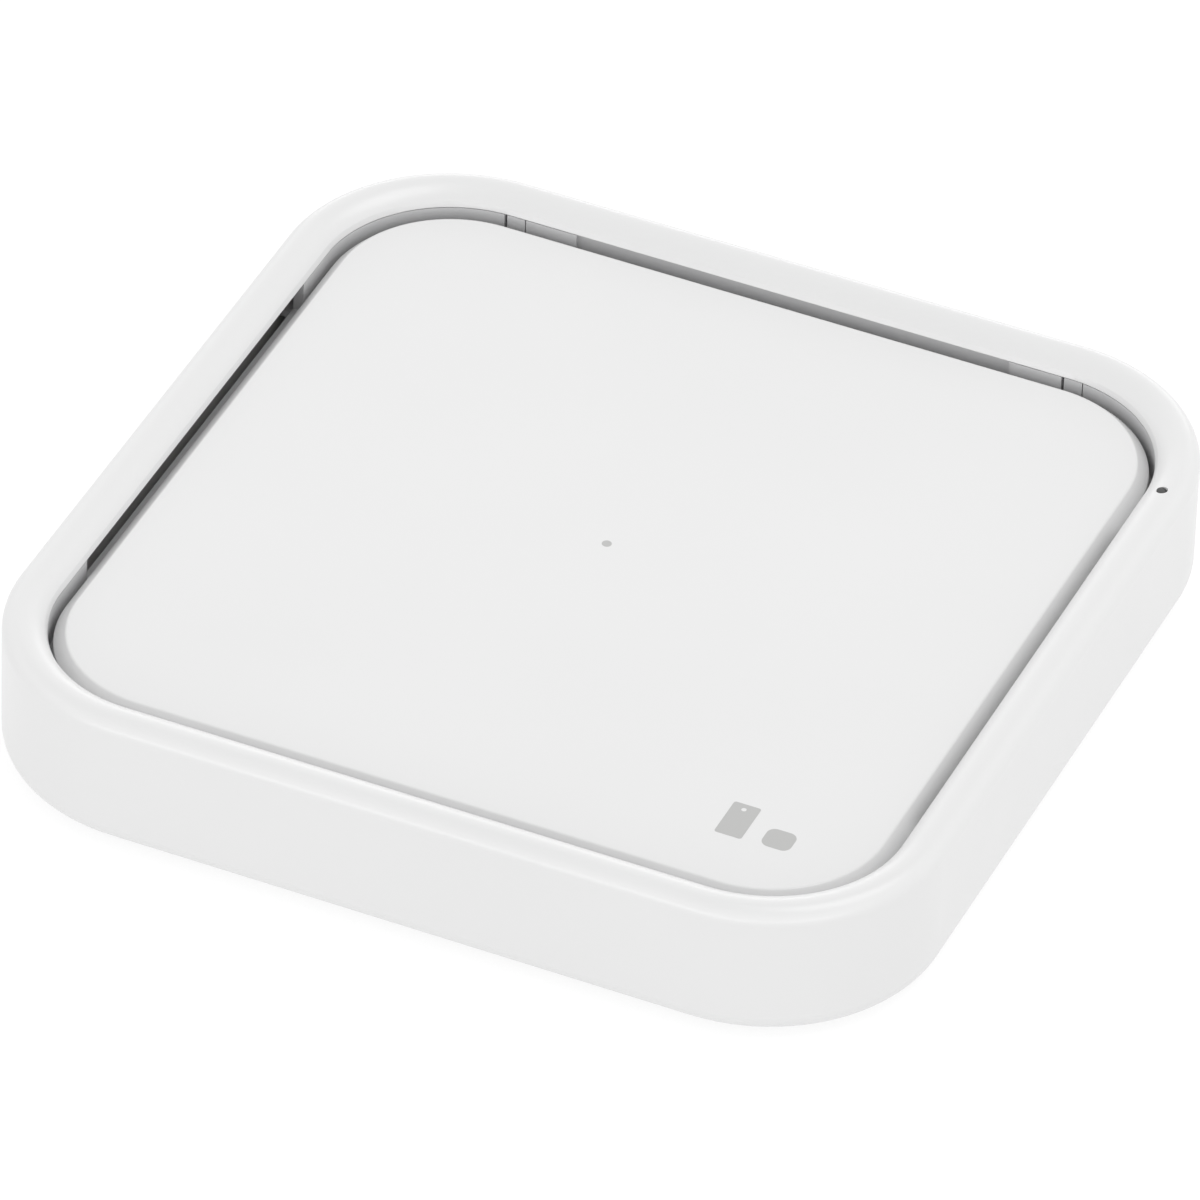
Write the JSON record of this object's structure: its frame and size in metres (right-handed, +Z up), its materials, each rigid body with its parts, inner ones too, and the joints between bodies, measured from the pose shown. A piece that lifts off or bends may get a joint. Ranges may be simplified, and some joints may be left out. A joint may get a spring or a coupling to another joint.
{
  "type": "wireless charging pad",
  "caption": "Square fan-cooled wireless charging pad: a rounded white rim round a sunken charging plate, with a USB-C inlet and rubber feet.",
  "frame": {"origin": "centre of the footprint, on the surface that the feet stand on", "axes": "+Z up, +Y towards the power inlet at the back, +X towards the side with the indicator"},
  "size_m": [0.095, 0.095, 0.0151],
  "materials": {
    "case_plastic": "glossy white moulded plastic",
    "plate_plastic": "satin white moulded plastic",
    "frame_plastic": "satin light grey moulded plastic",
    "base_plastic": "fine-textured white moulded plastic",
    "mark_ink": "pale grey printed ink",
    "foot_rubber": "matte grey silicone rubber",
    "screw_steel": "zinc-plated steel",
    "smoked_window": "glossy smoked black",
    "clear_plastic": "clear moulded light guide",
    "led_body": "diffused resin",
    "copper_litz": "enamelled copper",
    "adhesive_film": "translucent adhesive film",
    "ferrite": "sintered dark grey",
    "tray_plastic": "natural white moulded plastic",
    "shield_aluminium": "rolled sheet",
    "thermal_silicone": "soft blue-grey silicone",
    "epoxy_black": "black epoxy",
    "board_laminate": "green solder mask",
    "nickel_steel": "nickel-plated",
    "black_nylon": "black engineering plastic",
    "gold_contact": "gold-plated",
    "capacitor_ceramic": "sintered tan",
    "inductor_ferrite": "moulded iron powder",
    "socket_nylon": "natural nylon",
    "wire_red": "coloured insulation",
    "wire_enamel": "enamelled wire",
    "fan_plastic": "dark grey glass-filled plastic",
    "impeller_plastic": "dark grey plastic",
    "bearing_bronze": "sintered bronze",
    "core_steel": "stacked electrical steel",
    "magnet_black": "bonded magnet",
    "shaft_steel": "ground steel"
  },
  "bodies": {
    "base": {"outer_case": "case_plastic", "vent_frame": "frame_plastic", "charging_plate": "plate_plastic", "centre_mark": "mark_ink", "phone_mark": "mark_ink", "earbud_case_mark": "mark_ink", "bottom_cover": "base_plastic", "rubber_feet": "foot_rubber", "case_screws": "screw_steel", "led_window": "smoked_window", "light_pipe": "clear_plastic", "status_led": "led_body", "transmitter_coil": "copper_litz", "coil_leads": "copper_litz", "coil_adhesive": "adhesive_film", "ferrite_plate": "ferrite", "coil_tray": "tray_plastic", "tray_screws": "screw_steel", "shield_plate": "shield_aluminium", "thermal_pad": "thermal_silicone", "thermistor": "epoxy_black", "thermistor_leads": "wire_enamel", "main_board": "board_laminate", "board_screws": "screw_steel", "usb_shell": "nickel_steel", "usb_tongue": "black_nylon", "usb_contacts": "gold_contact", "wireless_controller": "epoxy_black", "bridge_chips": "epoxy_black", "power_delivery_chip": "epoxy_black", "resonant_capacitors": "capacitor_ceramic", "bulk_capacitors": "capacitor_ceramic", "power_inductor": "inductor_ferrite", "crystal": "nickel_steel", "small_capacitors": "capacitor_ceramic", "small_resistors": "epoxy_black", "fan_socket": "socket_nylon", "fan_plug": "socket_nylon", "fan_cable": "wire_red", "fan_frame": "fan_plastic", "fan_screws": "screw_steel", "fan_bearing": "bearing_bronze", "fan_board": "board_laminate", "stator_core": "core_steel", "stator_windings": "copper_litz"},
    "fan_rotor": {"impeller": "impeller_plastic", "rotor_magnet": "magnet_black", "rotor_shaft": "shaft_steel"}
  },
  "joints": [
    {"name": "fan_spin", "type": "hinge", "parent": "base", "child": "fan_rotor", "pos_m": [0, 0, 0.005], "axis": [0, 0, 1], "continuous": true}
  ]
}
